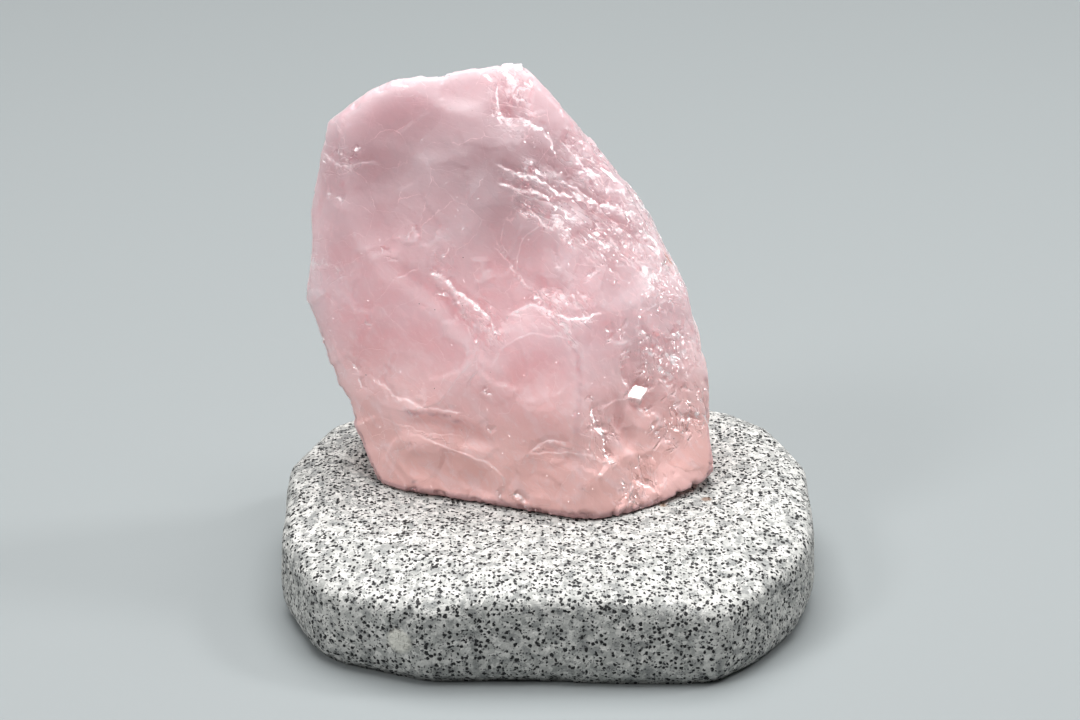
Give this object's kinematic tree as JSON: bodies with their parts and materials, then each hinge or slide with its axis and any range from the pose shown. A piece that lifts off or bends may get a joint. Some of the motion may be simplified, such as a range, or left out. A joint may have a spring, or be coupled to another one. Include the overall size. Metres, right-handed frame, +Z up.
{
  "type": "raw rose quartz chunk on a stone base",
  "caption": "Raw chunk of pink rose quartz with broken, stepped faces, standing upright on a low tumbled granite slab.",
  "frame": {"origin": "on the ground, under the middle of the granite slab", "axes": "+Z up; -Y towards the side with the large round scar; +X along the slab's longer side, towards the chunk's lower, sloping end"},
  "size_m": [0.1, 0.088, 0.0983],
  "materials": {
    "rose_quartz": "translucent pale pink, freshly broken and glassy, with cloudy white veils inside",
    "granite": "matt, fine-grained light grey with dense black and dark grey flecks"
  },
  "bodies": {
    "root": {"rose_quartz_chunk": "rose_quartz", "granite_slab": "granite"}
  },
  "joints": []
}
